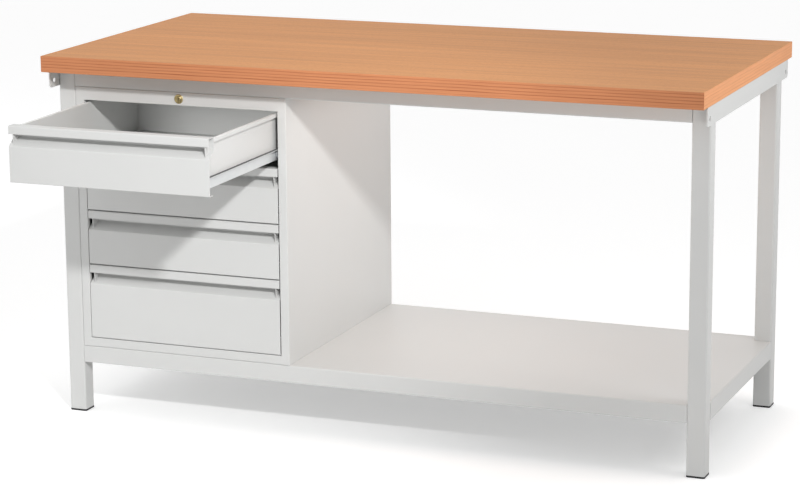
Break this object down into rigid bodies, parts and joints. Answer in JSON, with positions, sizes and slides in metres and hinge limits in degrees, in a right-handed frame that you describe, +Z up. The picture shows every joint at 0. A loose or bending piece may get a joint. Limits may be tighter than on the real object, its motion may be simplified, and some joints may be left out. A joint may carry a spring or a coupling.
{
  "type": "workbench",
  "caption": "Steel-frame workshop bench with a beech plywood top, a folded base shelf and a cabinet of lockable drawers on roller runners, the top drawer pulled open.",
  "frame": {"origin": "on the floor, under the middle of the whole outline with the top drawer open as in the picture", "axes": "+X to the right along the bench, +Y to the rear, +Z up; the drawers face -Y"},
  "size_m": [1.5, 1.013, 0.826],
  "materials": {
    "beech_plywood": "lacquered beech multiplex with its plies showing on the edges",
    "grey_paint": "satin light grey powder coat",
    "runner_zinc": "bright zinc plate",
    "screw_zinc": "zinc-plated steel",
    "foot_plastic": "matt black moulded plastic",
    "roller_nylon": "natural nylon",
    "lock_brass": "nickelled brass, worn at the keyway"
  },
  "bodies": {
    "bench": {"worktop": "beech_plywood", "leg_front_left": "grey_paint", "foot_cap_front_left": "foot_plastic", "worktop_screw_front_left": "screw_zinc", "leg_front_right": "grey_paint", "foot_cap_front_right": "foot_plastic", "worktop_screw_front_right": "screw_zinc", "leg_rear_left": "grey_paint", "foot_cap_rear_left": "foot_plastic", "worktop_screw_rear_left": "screw_zinc", "leg_rear_right": "grey_paint", "foot_cap_rear_right": "foot_plastic", "worktop_screw_rear_right": "screw_zinc", "side_rail_left": "grey_paint", "side_rail_right": "grey_paint", "long_rail_front": "grey_paint", "long_rail_rear": "grey_paint", "base_shelf": "grey_paint", "cabinet_side_left": "grey_paint", "cabinet_side_right": "grey_paint", "cabinet_top": "grey_paint", "cabinet_floor": "grey_paint", "cabinet_back": "grey_paint", "cabinet_screw_front": "screw_zinc", "cabinet_screw_rear": "screw_zinc", "lock_barrel": "lock_brass", "drawer_1_track_left": "runner_zinc", "drawer_1_track_right": "runner_zinc", "drawer_2_track_left": "runner_zinc", "drawer_2_track_right": "runner_zinc", "drawer_3_track_left": "runner_zinc", "drawer_3_track_right": "runner_zinc", "drawer_4_track_left": "runner_zinc", "drawer_4_track_right": "runner_zinc"},
    "drawer_1": {"drawer_1_front": "grey_paint", "drawer_1_tray": "grey_paint", "drawer_1_runner_left": "runner_zinc", "drawer_1_runner_right": "runner_zinc"},
    "drawer_2": {"drawer_2_front": "grey_paint", "drawer_2_tray": "grey_paint", "drawer_2_runner_left": "runner_zinc", "drawer_2_runner_right": "runner_zinc"},
    "drawer_3": {"drawer_3_front": "grey_paint", "drawer_3_tray": "grey_paint", "drawer_3_runner_left": "runner_zinc", "drawer_3_runner_right": "runner_zinc"},
    "drawer_4": {"drawer_4_front": "grey_paint", "drawer_4_tray": "grey_paint", "drawer_4_runner_left": "runner_zinc", "drawer_4_runner_right": "runner_zinc"},
    "roller_1_left": {"drawer_1_roller_left": "roller_nylon"},
    "roller_1_right": {"drawer_1_roller_right": "roller_nylon"},
    "roller_2_left": {"drawer_2_roller_left": "roller_nylon"},
    "roller_2_right": {"drawer_2_roller_right": "roller_nylon"},
    "roller_3_left": {"drawer_3_roller_left": "roller_nylon"},
    "roller_3_right": {"drawer_3_roller_right": "roller_nylon"},
    "roller_4_left": {"drawer_4_roller_left": "roller_nylon"},
    "roller_4_right": {"drawer_4_roller_right": "roller_nylon"},
    "lock_core": {"lock_core": "lock_brass", "lock_cam": "runner_zinc"}
  },
  "joints": [
    {"name": "drawer_1_slide", "type": "slide", "parent": "bench", "child": "drawer_1", "axis": [0, -1, 0], "range_m": [-0.336, 0.114]},
    {"name": "drawer_2_slide", "type": "slide", "parent": "bench", "child": "drawer_2", "axis": [0, -1, 0], "range_m": [0, 0.45]},
    {"name": "drawer_3_slide", "type": "slide", "parent": "bench", "child": "drawer_3", "axis": [0, -1, 0], "range_m": [0, 0.45]},
    {"name": "drawer_4_slide", "type": "slide", "parent": "bench", "child": "drawer_4", "axis": [0, -1, 0], "range_m": [0, 0.45]},
    {"name": "roller_1_left_spin", "type": "hinge", "parent": "bench", "child": "roller_1_left", "pos_m": [-0.68045, -0.1545, 0.6257], "axis": [1, 0, 0], "continuous": true},
    {"name": "roller_1_right_spin", "type": "hinge", "parent": "bench", "child": "roller_1_right", "pos_m": [-0.22095, -0.1545, 0.6257], "axis": [1, 0, 0], "continuous": true},
    {"name": "roller_2_left_spin", "type": "hinge", "parent": "bench", "child": "roller_2_left", "pos_m": [-0.68045, -0.1545, 0.5012], "axis": [1, 0, 0], "continuous": true},
    {"name": "roller_2_right_spin", "type": "hinge", "parent": "bench", "child": "roller_2_right", "pos_m": [-0.22095, -0.1545, 0.5012], "axis": [1, 0, 0], "continuous": true},
    {"name": "roller_3_left_spin", "type": "hinge", "parent": "bench", "child": "roller_3_left", "pos_m": [-0.68045, -0.1545, 0.3767], "axis": [1, 0, 0], "continuous": true},
    {"name": "roller_3_right_spin", "type": "hinge", "parent": "bench", "child": "roller_3_right", "pos_m": [-0.22095, -0.1545, 0.3767], "axis": [1, 0, 0], "continuous": true},
    {"name": "roller_4_left_spin", "type": "hinge", "parent": "bench", "child": "roller_4_left", "pos_m": [-0.68045, -0.1545, 0.2062], "axis": [1, 0, 0], "continuous": true},
    {"name": "roller_4_right_spin", "type": "hinge", "parent": "bench", "child": "roller_4_right", "pos_m": [-0.22095, -0.1545, 0.2062], "axis": [1, 0, 0], "continuous": true},
    {"name": "lock_turn", "type": "hinge", "parent": "bench", "child": "lock_core", "pos_m": [-0.4507, -0.1705, 0.73525], "axis": [0, -1, 0], "range_deg": [0, 90]}
  ],
  "couplings": [
    {"joint": "roller_1_left_spin", "follows": "drawer_1_slide", "rad_per_m": 105.26},
    {"joint": "roller_1_right_spin", "follows": "drawer_1_slide", "rad_per_m": 105.26},
    {"joint": "roller_2_left_spin", "follows": "drawer_2_slide", "rad_per_m": 105.26},
    {"joint": "roller_2_right_spin", "follows": "drawer_2_slide", "rad_per_m": 105.26},
    {"joint": "roller_3_left_spin", "follows": "drawer_3_slide", "rad_per_m": 105.26},
    {"joint": "roller_3_right_spin", "follows": "drawer_3_slide", "rad_per_m": 105.26},
    {"joint": "roller_4_left_spin", "follows": "drawer_4_slide", "rad_per_m": 105.26},
    {"joint": "roller_4_right_spin", "follows": "drawer_4_slide", "rad_per_m": 105.26}
  ]
}
